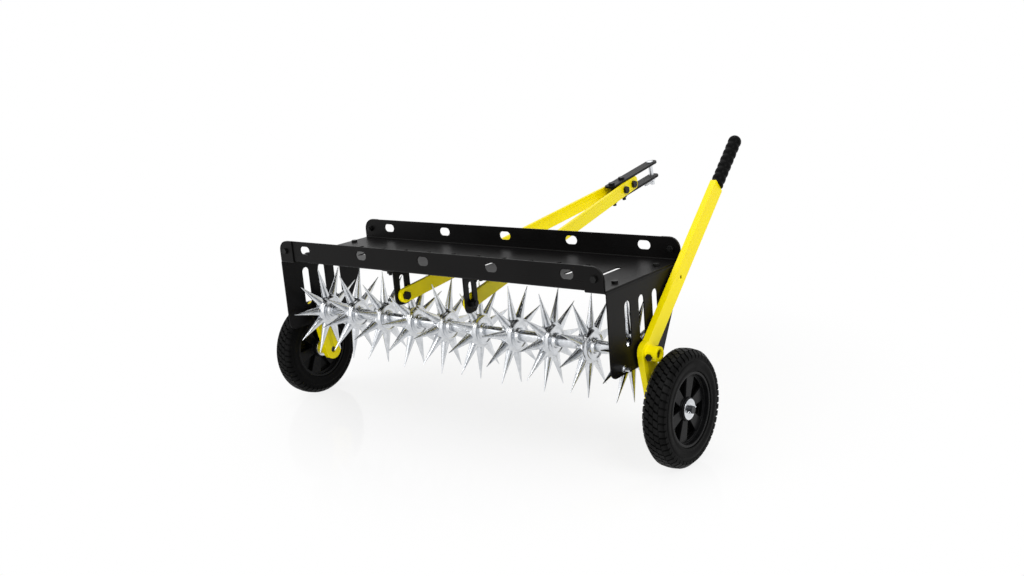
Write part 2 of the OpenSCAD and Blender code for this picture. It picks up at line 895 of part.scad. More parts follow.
module star_axle() {
    color(zinc) at_axle() difference() {
        along_x(-shaft_end_x) cylinder(d = axle_d, h = 2 * shaft_end_x);
        at_arm_turn() both_sides() sleeve_bolt_hole();
    }
}

module axle_spacers() {
    l = star_pitch - star_hub_l - 2 * play;
    color(zinc) at_axle() for (i = [0 : star_count - 2])
        along_x((i - (star_count - 2) / 2) * star_pitch - l / 2) difference() {
            cylinder(d = spacer_d, h = l);
            translate([0, 0, -over]) cylinder(d = axle_d + 2 * running, h = l + 2 * over);
        }
}

// Spike stars

module star_section() {
    bore = axle_d / 2 + running;
    nose = star_nose_d / 2;
    ring = star_ring_d / 2;
    dome_r = (nose + ring - star_ring_w) / 2;
    dome_x = (star_hub_l + star_ring_t) / 4 + star_dome;
    polygon([
        [bore, -star_hub_l / 2], [nose, -star_hub_l / 2],
        [dome_r, -dome_x], [ring - star_ring_w, -star_ring_t / 2],
        [ring, -star_ring_t / 2], [star_hub_d / 2, -star_body_t / 2],
        [star_hub_d / 2, star_body_t / 2], [ring, star_ring_t / 2],
        [ring - star_ring_w, star_ring_t / 2], [dome_r, dome_x],
        [nose, star_hub_l / 2], [bore, star_hub_l / 2]
    ]);
}

// a spike along Z with a diamond section: ridges on both faces, tapering to a blunt tip
module spike() {
    root_r = star_hub_d / 2 - spike_root;
    polyhedron(
        points = [
            [spike_t / 2, 0, root_r], [0, spike_w / 2, root_r],
            [-spike_t / 2, 0, root_r], [0, -spike_w / 2, root_r],
            [spike_tip / 2, 0, star_tip_r], [0, spike_tip / 2, star_tip_r],
            [-spike_tip / 2, 0, star_tip_r], [0, -spike_tip / 2, star_tip_r]
        ],
        faces = [
            [0, 1, 2, 3], [7, 6, 5, 4],
            [0, 4, 5, 1], [1, 5, 6, 2], [2, 6, 7, 3], [3, 7, 4, 0]
        ]
    );
}

module spike_star(i) {
    color(zinc) at_axle() translate([(i - (star_count + 1) / 2) * star_pitch, 0, 0])
        rotate([i * star_turn, 0, 0]) {
            rotate([0, 90, 0]) rotate_extrude() star_section();
            for (k = [0 : spike_count - 1]) rotate([k * turn / spike_count, 0, 0]) spike();
        }
}

// Lift: arms, lever and their fasteners

module at_arm_turn() {
    rotate([arm_lean - 90, 0, 0]) children();
}

// the cross bolt runs square to the arm
module sleeve_bolt_hole() {
    translate([sleeve_bolt_x, 0, 0]) bolt_hole(bolt_d, sleeve_d);
}

module wheel_arm() {
    difference() {
        union() {
            along_x(sleeve_x) cylinder(d = sleeve_d, h = sleeve_l);
            along_x(arm_x) cylinder(d = arm_w, h = arm_t);
            translate([arm_x, 0, -arm_w / 2]) cube([arm_t, arm_l, arm_w]);
            translate([0, arm_l, 0]) along_x(arm_x) cylinder(d = arm_w, h = arm_t);
            translate([0, arm_l, 0])
                along_x(arm_x) cylinder(d = arm_boss_d, h = washer_in_x - arm_x);
        }
        along_x(sleeve_x - over) cylinder(d = axle_d + 2 * running, h = sleeve_l + 2 * over);
        translate([0, arm_l, 0])
            along_x(arm_x - over) cylinder(d = wheel_axle_d + 2 * seam, h = washer_in_x - arm_x + 2 * over);
        sleeve_bolt_hole();
    }
}

module left_wheel_arm() {
    color(yellow) at_arm() mirror([1, 0, 0]) wheel_arm();
}

module right_wheel_arm() {
    color(yellow) at_arm() wheel_arm();
}

module lift_lever() {
    tube_x = arm_x + lever_wall;
    color(yellow) at_lever() difference() {
        union() {
            difference() {
                translate([arm_x, 0, -lever_w / 2]) cube([arm_t, lever_l, lever_w]);
                translate([tube_x, 0, -lever_w / 2 + lever_wall])
                    cube([arm_t - 2 * lever_wall, lever_l - 2 * lever_wall, lever_w - 2 * lever_wall]);
            }
            translate([arm_x + arm_t / 2, 0, 0]) along_y(lever_l - lever_wall)
                cylinder(d = arm_t, h = grip_l - arm_t);
        }
        along_x(arm_x - over) cylinder(d = arm_w + 2 * seam, h = arm_t + 2 * over);
        rotate([lever_to_arm, 0, 0]) translate([arm_x - over, 0, -arm_w / 2 - seam])
            cube([arm_t + 2 * over, arm_l, arm_w + 2 * seam]);
        translate([0, lock_hole_at, 0])
            along_x(arm_x - over) cylinder(d = lock_hole_d, h = arm_t + 2 * over);
    }
}

// the grip's outline: waves along its length and a rounded far end
module grip_section() {
    r = grip_d / 2;
    wave_l = (grip_l - r) / grip_waves;
    side = [for (i = [0 : grip_waves * wave_steps])
        [r - grip_wave / 2 * (1 - cos(i * turn / wave_steps)), i * wave_l / wave_steps]];
    dome = [for (i = [1 : arc_steps])
        [r * cos(i * turn / 4 / arc_steps), grip_l - r + r * sin(i * turn / 4 / arc_steps)]];
    polygon(concat([[0, 0]], side, dome));
}

module lever_grip() {
    color(black) at_lever() translate([arm_x + arm_t / 2, 0, 0]) along_y(lever_l) difference() {
        rotate_extrude() grip_section();
        translate([0, 0, -over])
            cylinder(d = arm_t + 2 * seam, h = grip_l - arm_t - lever_wall + seam + over);
    }
}

module sleeve_bolts() {
    l = sleeve_d + nut_h + thread_past;
    color(black) at_arm() both_sides() translate([sleeve_bolt_x, 0, -sleeve_d / 2]) mirror([0, 0, 1])
        bolt(bolt_d, bolt_af, bolt_head_h, l);
}

module sleeve_nuts() {
    color(black) at_arm() both_sides()
        translate([sleeve_bolt_x, 0, sleeve_d / 2]) nut(bolt_d, bolt_af, nut_h);
}

// the stop bolt's seat on the inside of the right plate, with Z pointing inward
module at_stop_bolt() {
    translate([side_in_x, -axle_back - stop_back, -axle_drop - stop_drop]) rotate([0, -90, 0])
        children();
}

module lever_stop_bolt() {
    l = sheet_t + arm_t * stop_bolt_reach_share;
    color(zinc) at_tray() at_stop_bolt() bolt(bolt_d, bolt_af, bolt_head_h, l);
}

module lever_stop_nut() {
    color(zinc) at_tray() at_stop_bolt() translate([0, 0, -sheet_t - nut_h]) nut(bolt_d, bolt_af, nut_h);
}

// Wheels

module wheel_axle() {
    difference() {
        along_x(arm_x + axle_sunk)
            cylinder(d = wheel_axle_d, h = wheel_axle_end_x - arm_x - axle_sunk);
        translate([cotter_x, 0, -wheel_axle_d]) cylinder(d = cotter_d + 2 * running, h = 2 * wheel_axle_d);
    }
}

module left_wheel_axle() {
    color("dimgray") at_wheel() mirror([1, 0, 0]) wheel_axle();
}

module right_wheel_axle() {
    color("dimgray") at_wheel() wheel_axle();
}

// rim, web and boss, without the spokes
module hub_section() {
    rim_r = rim_d / 2;
    rim_w = tyre_w - 2 * rim_inset;
    bore_r = wheel_bush_d / 2 + seam;
    translate([bore_r, -tyre_w / 2]) square([boss_d / 2 - bore_r, tyre_w - boss_inset]);
    translate([bore_r, -web_t / 2]) square([rim_r - rim_t / 2 - bore_r, web_t]);
    translate([rim_r - rim_t, -rim_w / 2]) square([rim_t, rim_w]);
}

// the spokes and the band that joins them to the rim, with windows between
module spoke_outline() {
    band_r = rim_d / 2 - rim_t;
    difference() {
        circle(band_r + rim_t / 2);
        circle(band_r - band_w);
    }
    difference() {
        for (i = [0 : spoke_count - 1]) rotate(i * turn / spoke_count)
            polygon([
                [0, -spoke_root_w / 2], [band_r, -spoke_end_w / 2],
                [band_r, spoke_end_w / 2], [0, spoke_root_w / 2]
            ]);
        circle(boss_d / 2 - rim_inset);
    }
}

module wheel_hub() {
    translate([wheel_x, 0, 0]) rotate([0, 90, 0]) {
        rotate_extrude() hub_section();
        translate([0, 0, -spoke_t / 2]) linear_extrude(spoke_t) spoke_outline();
    }
}

module left_wheel_hub() {
    color(black) at_wheel() mirror([1, 0, 0]) wheel_hub();
}

module right_wheel_hub() {
    color(black) at_wheel() wheel_hub();
}

module tyre() {
    in_r = rim_d / 2 + seam;
    translate([wheel_x, 0, 0]) rotate([0, 90, 0]) rotate_extrude() polygon(rounded(
        [[in_r, -tyre_w / 2], [wheel_r, -tyre_w / 2], [wheel_r, tyre_w / 2], [in_r, tyre_w / 2]],
        [rim_inset, tyre_shoulder_r, tyre_shoulder_r, rim_inset]
    ));
}

module left_tyre() {
    color("#1a1a1a") at_wheel() mirror([1, 0, 0]) tyre();
}

module right_tyre() {
    color("#1a1a1a") at_wheel() tyre();
}

module wheel_bushings() {
    for (x = [tyre_x, boss_out_x - wheel_bush_l]) along_x(x) difference() {
        cylinder(d = wheel_bush_d, h = wheel_bush_l);
        translate([0, 0, -over]) cylinder(d = wheel_axle_d + 2 * running, h = wheel_bush_l + 2 * over);
    }
}

module left_wheel_bushings() {
    color("dimgray") at_wheel() mirror([1, 0, 0]) wheel_bushings();
}

module right_wheel_bushings() {
    color("dimgray") at_wheel() wheel_bushings();
}

module wheel_washers() {
    color(zinc) at_wheel() both_sides() for (x = [washer_in_x, washer_x]) along_x(x) difference() {
        cylinder(d = washer_d, h = washer_t);
        translate([0, 0, -over]) cylinder(d = wheel_axle_d + 2 * running, h = washer_t + 2 * over);
    }
}

module cotter_pins() {
    l = wheel_axle_d + 2 * cotter_d;
    color(zinc) at_wheel() both_sides() translate([cotter_x, 0, 0]) {
        translate([0, 0, -l / 2]) cylinder(d = cotter_d, h = l);
        translate([0, 0, l / 2]) sphere(d = 2 * cotter_d);
    }
}

weight_tray();
left_side_plate();
right_side_plate();
deck_bolts();
flange_bolts();
bracket_bolts();
frame_nuts();
left_hitch_bracket();
right_hitch_bracket();
left_front_lug();
right_front_lug();
left_drawbar();
right_drawbar();
drawbar_bolts();
drawbar_nuts();
hitch_strap_top();
hitch_strap_bottom();
hitch_clamp_bolts();
hitch_clamp_nuts();
hitch_cross_bolts();
hitch_cross_nuts();
hitch_pin();
hairpin_clip();
left_axle_bushing();
right_axle_bushing();
lever_stop_bolt();
lever_stop_nut();
star_axle();
axle_spacers();
spike_star(1);  // spike_star_1
spike_star(2);  // spike_star_2
spike_star(3);  // spike_star_3
spike_star(4);  // spike_star_4
spike_star(5);  // spike_star_5
spike_star(6);  // spike_star_6
spike_star(7);  // spike_star_7
spike_star(8);  // spike_star_8
spike_star(9);  // spike_star_9
spike_star(10);  // spike_star_10
left_wheel_arm();
right_wheel_arm();
lift_lever();
lever_grip();
sleeve_bolts();
sleeve_nuts();
left_wheel_axle();
right_wheel_axle();
left_wheel_hub();
right_wheel_hub();
left_tyre();
right_tyre();
left_wheel_bushings();
right_wheel_bushings();
wheel_washers();
cotter_pins();
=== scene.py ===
"""Looks of the tow-behind spike aerator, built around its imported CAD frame.

Places are metres in the frame's own axes: X along the axle, Y forward, Z up from the floor.
The shapes made here are written in millimetres and scaled by MM.
"""
import json
import math

import bpy
from mathutils import Matrix, Vector


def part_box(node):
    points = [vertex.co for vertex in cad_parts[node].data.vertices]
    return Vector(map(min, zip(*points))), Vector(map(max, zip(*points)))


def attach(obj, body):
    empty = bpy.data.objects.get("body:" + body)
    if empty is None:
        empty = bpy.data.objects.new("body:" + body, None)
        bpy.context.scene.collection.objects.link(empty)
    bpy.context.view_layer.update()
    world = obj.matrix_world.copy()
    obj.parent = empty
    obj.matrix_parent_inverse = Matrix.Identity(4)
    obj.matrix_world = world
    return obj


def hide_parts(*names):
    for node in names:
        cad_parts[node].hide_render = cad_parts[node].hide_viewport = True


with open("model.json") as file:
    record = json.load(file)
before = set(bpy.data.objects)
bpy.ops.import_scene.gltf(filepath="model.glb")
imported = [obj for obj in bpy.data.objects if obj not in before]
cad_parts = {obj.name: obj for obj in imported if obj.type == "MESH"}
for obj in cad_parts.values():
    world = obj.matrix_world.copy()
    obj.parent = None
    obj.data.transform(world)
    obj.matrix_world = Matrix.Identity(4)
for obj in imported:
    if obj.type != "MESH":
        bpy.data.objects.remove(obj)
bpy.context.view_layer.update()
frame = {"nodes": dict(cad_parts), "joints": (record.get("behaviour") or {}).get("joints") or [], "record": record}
scene = bpy.context.scene
MM = 0.001
JOINTS = {j["name"]: Vector(j["pos_m"]) for j in frame["joints"]}
SLOT_OF = {s["node"]: s["material_slot"] for s in frame["record"]["subparts"]}


# Shader nodes

def add(tree, kind, values=None, operation=None):
    """A new node of a kind, with the values of its inputs."""
    made = tree.nodes.new(kind)
    if operation:
        made.operation = operation
    for socket, value in (values or {}).items():
        made.inputs[socket].default_value = value
    return made


def remap(tree, source, ends, shares):
    """An output that goes from one share to the other as source goes from end to end."""
    made = add(tree, "ShaderNodeMapRange", {
        "From Min": ends[0], "From Max": ends[1], "To Min": shares[0], "To Max": shares[1],
    })
    tree.links.new(source, made.inputs["Value"])
    return made.outputs["Result"]


def number(tree, operation, *sources, values=None):
    """The output of a math node whose first inputs are sources."""
    made = add(tree, "ShaderNodeMath", values, operation)
    for socket, source in zip(made.inputs, sources):
        tree.links.new(source, socket)
    return made.outputs["Value"]


def vector(tree, operation, source, values=None):
    """A vector math node whose first input is source."""
    made = add(tree, "ShaderNodeVectorMath", values, operation)
    tree.links.new(source, made.inputs[0])
    return made


# Materials

PATCH_DETAIL, GRAIN_DETAIL = 5, 3
TONE_STOPS = (0.35, 0.65)  # noise levels of the two tones
GLOSS_STOPS = (0.3, 0.7)  # noise levels of the two ends of the roughness
RELIEF_STRENGTH = 0.35
LOOKS = {  # two tones, roughness, patches and grain per metre, grain's depth, metallic, specular
    "black_coat": (((8, 7, 7), (12, 11, 11)), (0.32, 0.42), 9, 500, 0.00002, 0.0, 0.105),
    "black_fastener": (((8, 8, 8), (15, 15, 15)), (0.3, 0.45), 60, 1500, 0.00004, 0.0, 0.2),
    "yellow_coat": (((252, 230, 0), (255, 238, 0)), (0.26, 0.38), 9, 220, 0.00001, 0.0, 0.18),
    "zinc": (((198, 201, 205), (226, 228, 231)), (0.19, 0.3), 45, 260, 0.00002, 1.0, 0.5),
    "shaft_steel": (((52, 53, 55), (72, 73, 75)), (0.3, 0.45), 60, 1200, 0.00006, 1.0, 0.5),
    "bush_plastic": (((26, 26, 26), (36, 36, 36)), (0.5, 0.65), 50, 1500, 0.00006, 0.0, 0.3),
    "hub_plastic": (((14, 14, 15), (20, 20, 21)), (0.22, 0.34), 40, 1600, 0.00004, 0.0, 0.085),
    "tyre_rubber": (((5, 5, 5), (9, 9, 9)), (0.36, 0.5), 35, 800, 0.0003, 0.0, 0.035),
    "grip_rubber": (((5, 5, 5), (9, 9, 9)), (0.36, 0.5), 50, 1200, 0.0002, 0.0, 0.045),
}
# Painted shade: the wheel hubs' pockets darken towards the wheel's middle plane.
POCKET_SHADE_AT, POCKET_SHADE_SHARES = (0.004, 0.011), (0.12, 1.0)  # off the wheel's middle plane
# Painted highlight: the tyre's tread is lighter than its walls, standing in for glints of light on the lugs.
TREAD_HIGHLIGHT_AT, TREAD_HIGHLIGHT_SHARES = (0.113, 0.119), (1.0, 4.0)  # off the wheel's axis


def srgb(r, g, b):
    """A colour given as 0 to 255 per channel, as Blender's linear colour."""
    def linear(c):
        c /= 255
        return c / 12.92 if c <= 0.04045 else ((c + 0.055) / 1.055) ** 2.4
    return (linear(r), linear(g), linear(b), 1.0)


def surface(name, tones, rough, patch, grain, depth, metallic, specular):
    """A material with two close tones in soft patches, uneven gloss and a fine grain."""
    made = bpy.data.materials.new(name)
    made.use_nodes = True
    tree = made.node_tree
    link = tree.links.new
    shader = tree.nodes["Principled BSDF"]
    shader.inputs["Metallic"].default_value = metallic
    shader.inputs["Specular IOR Level"].default_value = specular
    place = add(tree, "ShaderNodeTexCoord").outputs["Object"]

    patches = add(tree, "ShaderNodeTexNoise", {"Scale": patch, "Detail": PATCH_DETAIL})
    link(place, patches.inputs["Vector"])
    colour = add(tree, "ShaderNodeValToRGB")
    for stop, level, tone in zip(colour.color_ramp.elements, TONE_STOPS, tones):
        stop.position, stop.color = level, srgb(*tone)
    link(patches.outputs["Fac"], colour.inputs["Fac"])
    link(colour.outputs["Color"], shader.inputs["Base Color"])
    link(remap(tree, patches.outputs["Fac"], GLOSS_STOPS, rough), shader.inputs["Roughness"])

    fine = add(tree, "ShaderNodeTexNoise", {"Scale": grain, "Detail": GRAIN_DETAIL})
    link(place, fine.inputs["Vector"])
    relief = add(tree, "ShaderNodeBump", {"Strength": RELIEF_STRENGTH, "Distance": depth})
    link(fine.outputs["Fac"], relief.inputs["Height"])
    link(relief.outputs["Normal"], shader.inputs["Normal"])
    return made


def scale_tone_for_painted_light(made, measure, ends, shares):
    """Scales a material's colour from one share to the other as a measure goes from end to end, to paint light and
    shade into it.
    """
    tree = made.node_tree
    place = add(tree, "ShaderNodeTexCoord").outputs["Object"]
    tone = remap(tree, measure(tree, place), ends, shares)
    base = tree.nodes["Principled BSDF"].inputs["Base Color"]
    scaled = vector(tree, "SCALE", base.links[0].from_socket)
    tree.links.new(tone, scaled.inputs["Scale"])
    tree.links.new(scaled.outputs["Vector"], base)


def from_wheel_middle(tree, place):
    """Distance along X from the middle plane of the nearer wheel, for a place in the frame."""
    split = add(tree, "ShaderNodeSeparateXYZ")
    tree.links.new(place, split.inputs["Vector"])
    out = number(tree, "ABSOLUTE", split.outputs["X"])
    off = number(tree, "SUBTRACT", out, values={1: JOINTS["right_wheel_hinge"].x})
    return number(tree, "ABSOLUTE", off)


def from_own_axis(tree, place):
    """Distance from the X axis of a piece that is made around it."""
    across = vector(tree, "MULTIPLY", place, {1: (0, 1, 1)})
    return vector(tree, "LENGTH", across.outputs["Vector"]).outputs["Value"]


MATERIALS = {name: surface(name, *look) for name, look in LOOKS.items()}
# Painted shade: the pockets between a wheel's spokes are darkened near the wheel's middle plane. Painted
# highlight: the tyres' tread is made lighter than the walls, standing in for glints of light on the lugs.
scale_tone_for_painted_light(MATERIALS["hub_plastic"], from_wheel_middle, POCKET_SHADE_AT, POCKET_SHADE_SHARES)
scale_tone_for_painted_light(MATERIALS["tyre_rubber"], from_own_axis, TREAD_HIGHLIGHT_AT, TREAD_HIGHLIGHT_SHARES)
for name, node in frame["nodes"].items():
    node.data.materials.clear()
    node.data.materials.append(MATERIALS[SLOT_OF[name]])


# Mesh making

def lathe(profile, steps, closed=False):
    """Vertices and faces of a profile of (x, r) points turned about X.

    closed joins the last point to the first; otherwise both ends are capped.
    """
    turns = [2 * math.pi * k / steps for k in range(steps)]
    verts = [(x, r * math.cos(a), r * math.sin(a)) for a in turns for x, r in profile]
    n = len(profile)
    faces = []
    for k in range(steps):
        here, there = k * n, (k + 1) % steps * n
        for i in range(n if closed else n - 1):
            j = (i + 1) % n
            faces.append((here + i, there + i, there + j, here + j))
    if not closed:
        faces.append(tuple(k * n for k in reversed(range(steps))))
        faces.append(tuple(k * n + n - 1 for k in range(steps)))
    return verts, faces


def skin(rings, sides):
    """Faces over rings of as many vertices as sides, with capped ends."""
    faces = []
    for i in range(rings - 1):
        here, there = i * sides, (i + 1) * sides
        for k in range(sides):
            j = (k + 1) % sides
            faces.append((here + k, here + j, there + j, there + k))
    last = (rings - 1) * sides
    faces.append(tuple(reversed(range(sides))))
    faces.append(tuple(range(last, last + sides)))
    return faces


def tube(points, radius, sides=10):
    """Vertices and faces of a round wire along points."""
    path = [Vector(p) for p in points]
    verts = []
    side = None
    for i, p in enumerate(path):
        ahead = (path[min(i + 1, len(path) - 1)] - path[max(i - 1, 0)]).normalized()
        if side is None:
            side = ahead.orthogonal().normalized()
        side = (side - ahead * side.dot(ahead)).normalized()
        up = ahead.cross(side)
        for k in range(sides):
            a = 2 * math.pi * k / sides
            verts.append(p + radius * (math.cos(a) * side + math.sin(a) * up))
    return verts, skin(len(path), sides)


def both_sides(profile):
    """A profile in millimetres that ends at or before x = 0, in metres and mirrored across it."""
    half = [(x * MM, r * MM) for x, r in profile]
    return half + [(-x, r) for x, r in reversed(half) if x]


def join(*shapes):
    """One list of vertices and one of faces from several."""
    verts, faces = [], []
    for v, f in shapes:
        base = len(verts)
        verts += v
        faces += [tuple(base + i for i in face) for face in f]
    return verts, faces


def mesh(name, shape, smooth_deg):
    """A mesh shaded smooth except over edges sharper than smooth_deg."""
    made = bpy.data.meshes.new(name)
    made.from_pydata([tuple(v) for v in shape[0]], [], shape[1])
    made.validate()
    made.shade_smooth()
    made.set_sharp_from_angle(angle=math.radians(smooth_deg))
    return made


def piece(name, data, matrix, body, nodes):
    """An object that stands for CAD nodes, takes their material slot and rides on their body.

    The turn goes into a copy of the mesh, so that bounds are measured on the turned shape.
    """
    slot = SLOT_OF[nodes[0]]
    data = data.copy()
    data.transform(matrix.to_3x3().to_4x4())
    data.materials.append(MATERIALS[slot])
    made = bpy.data.objects.new(name, data)
    made.location = matrix.translation
    scene.collection.objects.link(made)
    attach(made, body)
    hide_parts(*nodes)
    return made


# Spike stars: a hub with a raised ring around a dished face, and flattened cones for spikes

STAR_PROFILE = [
    (-20.0, 10.6), (-20.0, 13.4), (-19.4, 14.6), (-17.5, 15.4), (-14.6, 16.4), (-13.0, 17.8),
    (-12.4, 19.6), (-12.0, 22.0), (-11.9, 25.0), (-12.3, 27.2), (-13.4, 28.6), (-14.4, 29.6),
    (-14.7, 30.6), (-14.3, 31.8), (-13.0, 33.0), (-11.0, 34.4), (-9.4, 35.8), (-8.4, 37.4),
    (-7.4, 38.8), (-6.2, 39.7), (-4.5, 40.0),
]
SPIKE_STATIONS = [  # radius, half width, half thickness
    (33.5, 12.2, 8.9), (37.0, 12.2, 8.9), (48.0, 10.3, 7.5),
    (66.0, 7.5, 5.5), (90.0, 3.9, 3.0), (114.4, 0.75, 0.75),
]
STAR_COUNT, STAR_STEPS, STAR_SMOOTH = 10, 64, 40
STAR_TURN = 11  # degrees from star to star
SPIKE_COUNT, SPIKE_SIDES = 10, 16


def spike(turn):
    """One spike pointing outward in the YZ plane, turned about X."""
    verts = []
    c, s = math.cos(turn), math.sin(turn)
    for r, half_w, half_t in SPIKE_STATIONS:
        for k in range(SPIKE_SIDES):
            a = 2 * math.pi * k / SPIKE_SIDES
            x, w = half_t * math.cos(a), half_w * math.sin(a)
            verts.append((x * MM, (w * c - r * s) * MM, (w * s + r * c) * MM))
    return verts, skin(len(SPIKE_STATIONS), SPIKE_SIDES)


star_hub = lathe(both_sides(STAR_PROFILE), STAR_STEPS, closed=True)
spikes = [spike(math.radians(360 / SPIKE_COUNT * k)) for k in range(SPIKE_COUNT)]
star_mesh = mesh("spike_star", join(star_hub, *spikes), STAR_SMOOTH)
for i in range(1, STAR_COUNT + 1):
    turn = Matrix.Rotation(math.radians(STAR_TURN * i), 4, "X")
    place = Matrix.Translation(JOINTS[f"star_{i}_hinge"]) @ turn
    piece(f"star_body_{i}", star_mesh, place, f"star_{i}", [f"spike_star_{i}"])


# Tyres: a rounded carcass with ringed side walls, and rows of tread lugs

CARCASS = [
    (-22.5, 79.1), (-24.4, 79.8), (-25.0, 82.0), (-24.4, 84.5), (-24.6, 88.0), (-25.6, 92.0),
    (-25.9, 97.0), (-25.9, 101.0), (-25.2, 102.0), (-25.6, 103.2), (-24.9, 107.0),
    (-23.2, 111.0), (-20.0, 114.4), (-15.0, 116.4), (0.0, 117.4),
]
LUG_ROWS = [  # x from and to, radius at each, skew and phase as shares of the pitch
    (-25.2, -15.6, 113.0, 121.8, 0.16, 0.0),
    (-14.6, -5.4, 122.6, 123.7, 0.28, 0.5),
    (-4.4, 4.4, 123.9, 123.9, 0.28, 0.0),
    (5.4, 14.6, 123.7, 122.6, 0.28, 0.5),
    (15.6, 25.2, 121.8, 113.0, 0.16, 0.0),
]
LUG_COUNT = 48
LUG_SHARE = 0.72  # of the pitch
LUG_DEPTH = 7.0
LUG_SPREAD, LUG_END_SPREAD = 0.07, 0.56  # root beyond the top: share of the pitch, millimetres
LUG_FACES = [(0, 2, 3, 1), (4, 5, 7, 6), (0, 1, 5, 4), (2, 6, 7, 3), (0, 4, 6, 2), (1, 3, 7, 5)]
TYRE_STEPS, TYRE_SMOOTH = 128, 40


def lug(row, k):
    """One tread lug: a skewed block with a narrower top, rooted in the carcass."""
    x0, x1, r0, r1, skew, phase = row
    pitch = 2 * math.pi / LUG_COUNT
    verts = []
    for depth, spread, end_spread in ((LUG_DEPTH, LUG_SPREAD, LUG_END_SPREAD), (0.0, 0.0, 0.0)):
        for x, r, lean in ((x0 - end_spread, r0, -skew), (x1 + end_spread, r1, skew)):
            for side in (-1, 1):
                a = (k + phase + lean / 2 + side * (LUG_SHARE / 2 + spread)) * pitch
                reach = (r - depth) * MM
                verts.append((x * MM, reach * math.cos(a), reach * math.sin(a)))
    return verts, LUG_FACES


carcass = lathe(both_sides(CARCASS), TYRE_STEPS, closed=True)
lugs = [lug(row, k) for row in LUG_ROWS for k in range(LUG_COUNT)]
tyre_mesh = mesh("tyre", join(carcass, *lugs), TYRE_SMOOTH)
OUTWARD = {"left": Matrix.Rotation(math.pi, 4, "Z"), "right": Matrix.Identity(4)}
for hand, facing in OUTWARD.items():
    place = Matrix.Translation(JOINTS[f"{hand}_wheel_hinge"]) @ facing
    piece(f"{hand}_tyre_tread", tyre_mesh, place, f"{hand}_wheel", [f"{hand}_tyre"])


# Lever grip: soft ribs, a rounded end and a blind bore

LEVER_X, LEVER_RISE = 495.0, math.radians(42)
GRIP_AT, GRIP_L, GRIP_R = 437.0, 140.0, 14.9  # GRIP_AT is along the lever from its hinge
GRIP_BORE_R, GRIP_BORE_L = 7.2, 123.0
GRIP_STEPS, GRIP_SMOOTH = 64, 50
RIB_COUNT, RIB_STEPS, RIB_DEPTH, RIB_POWER = 7, 14, 1.3, 1.6
DOME_STEPS = 10
TIP_R = 0.05  # keeps the ends of the profile off the axis


def rib_groove(i):
    """Depth of the groove between the ribs at step i of the profile."""
    return RIB_DEPTH * (0.5 - 0.5 * math.cos(2 * math.pi * i / RIB_STEPS)) ** RIB_POWER


rib_l = (GRIP_L - GRIP_R) / RIB_COUNT
grip_profile = [
    (GRIP_BORE_L, TIP_R), (GRIP_BORE_L, GRIP_BORE_R), (0.2, GRIP_BORE_R),
    (0.0, 9.0), (0.0, 13.2), (0.5, 14.5),
]
grip_profile += [
    (i * rib_l / RIB_STEPS, GRIP_R - rib_groove(i)) for i in range(1, RIB_COUNT * RIB_STEPS + 1)
]
for k in range(1, DOME_STEPS + 1):
    a = math.pi / 2 * k / DOME_STEPS
    grip_profile.append((
        GRIP_L - GRIP_R + GRIP_R * math.sin(a), max(GRIP_R * math.cos(a), TIP_R),
    ))
grip = lathe([(x * MM, r * MM) for x, r in grip_profile], GRIP_STEPS)
along = Matrix.Rotation(LEVER_RISE, 4, "X") @ Matrix.Rotation(math.pi / 2, 4, "Z")
place = Matrix.Translation(JOINTS["lift_hinge"] + Vector((LEVER_X * MM, 0, 0))) @ along
place = place @ Matrix.Translation((GRIP_AT * MM, 0, 0))
piece("grip_ribs", mesh("grip", grip, GRIP_SMOOTH), place, "lift", ["lever_grip"])


# Split pins through the wheel axles, each one bent wire with a loop

WIRE_SMOOTH = 60
COTTER_RISE = math.radians(12)  # of the pins' line towards the front
COTTER_WIRE, COTTER_HEAD_R = 0.95, 4.0
COTTER_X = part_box("cotter_pins")[1][0] / MM - COTTER_HEAD_R
COTTER_LEG = [(-2.9, -11.8), (-1.7, -10.2), (-1.05, -8.4), (-1.0, 0.0), (-1.0, 8.8)]
LOOP_R, LOOP_Z, LOOP_STEPS = 2.4, 12.4, 20
LOOP_FROM, LOOP_SWEEP = -25, -310  # degrees


def split_pin(x):
    """One split pin along local Z at x."""
    path = list(COTTER_LEG)
    for k in range(LOOP_STEPS + 1):
        t = math.radians(LOOP_FROM + LOOP_SWEEP * k / LOOP_STEPS)
        path.append((LOOP_R * math.sin(t), LOOP_Z - LOOP_R * math.cos(t)))
    path += [(-dx, z) for dx, z in reversed(COTTER_LEG)]
    return tube([((x + dx) * MM, 0, z * MM) for dx, z in path], COTTER_WIRE * MM)


pins = join(split_pin(COTTER_X), split_pin(-COTTER_X))
hub_line = Vector((0, *JOINTS["right_wheel_hinge"].yz))
place = Matrix.Translation(hub_line) @ Matrix.Rotation(COTTER_RISE - math.pi / 2, 4, "X")
piece("split_pins", mesh("split_pins", pins, WIRE_SMOOTH), place, "lift", ["cotter_pins"])


# Hairpin clip: a straight leg through the hitch pin, a round bow and a waved leg

BAR_RISE = math.radians(9.1)
CLIP_WIRE, CLIP_TAIL, CLIP_BOW, CLIP_LEG, CLIP_GAP = 1.2, 18.0, 42.0, 37.0, 7.9
BOW_STEPS = 14
WAVE_COUNT, WAVE_STEPS, WAVE_DEPTH = 2, 16, 1.6

